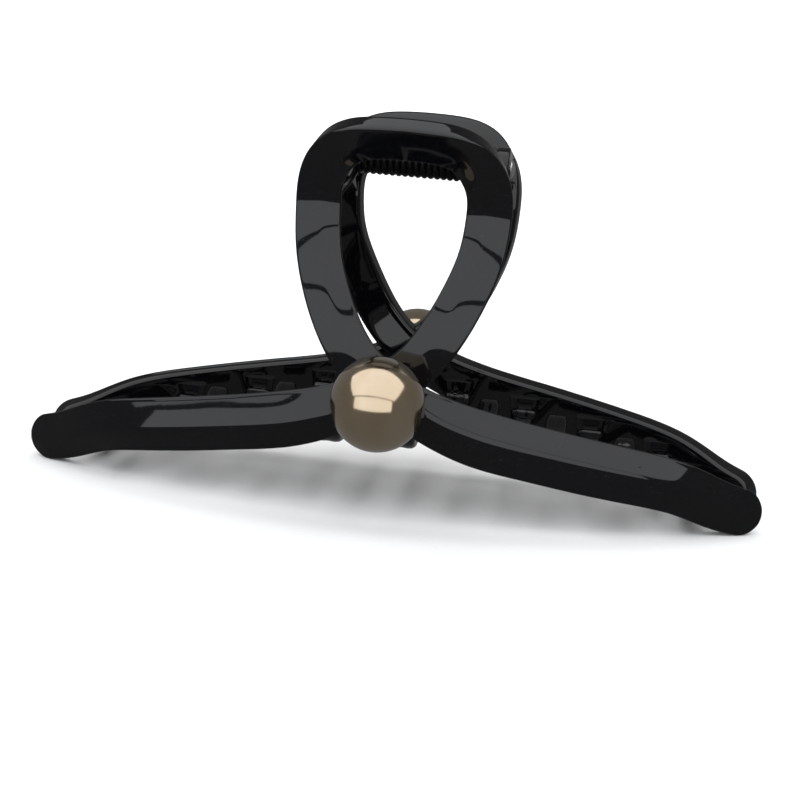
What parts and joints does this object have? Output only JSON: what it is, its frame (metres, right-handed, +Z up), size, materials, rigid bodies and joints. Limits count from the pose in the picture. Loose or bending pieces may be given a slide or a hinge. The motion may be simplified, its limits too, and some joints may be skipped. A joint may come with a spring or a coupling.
{
  "type": "claw clip",
  "caption": "Hair claw clip: two ribbon-shaped jaws with interleaving curved teeth, a sprung top hinge and a pearl on each jaw.",
  "frame": {"origin": "on the base, under the middle of the clip, midway between the two jaws", "axes": "+X along the wings to the right, +Y from the front jaw to the rear jaw, +Z up to the finger bars"},
  "size_m": [0.1342, 0.0716, 0.0679],
  "materials": {
    "jaw_plastic": "high gloss",
    "pearl": "pearlescent",
    "pin_steel": "satin",
    "spring_wire": "black oxide"
  },
  "bodies": {
    "front_jaw": {"front_jaw": "jaw_plastic", "front_teeth": "jaw_plastic", "front_hinge_lugs": "jaw_plastic", "front_pearl_peg": "jaw_plastic", "front_pearl": "pearl", "hinge_pin": "pin_steel", "torsion_spring": "spring_wire"},
    "rear_jaw": {"rear_jaw": "jaw_plastic", "rear_teeth": "jaw_plastic", "rear_hinge_lugs": "jaw_plastic", "rear_pearl_peg": "jaw_plastic", "rear_pearl": "pearl"}
  },
  "joints": [
    {"name": "jaw_hinge", "type": "hinge", "parent": "front_jaw", "child": "rear_jaw", "pos_m": [0, 0, 0.05981], "axis": [1, 0, 0], "range_deg": [0, 60], "stiffness_Nm_per_rad": 0.15, "springref_deg": -68.75, "deforming": ["torsion_spring"]}
  ]
}
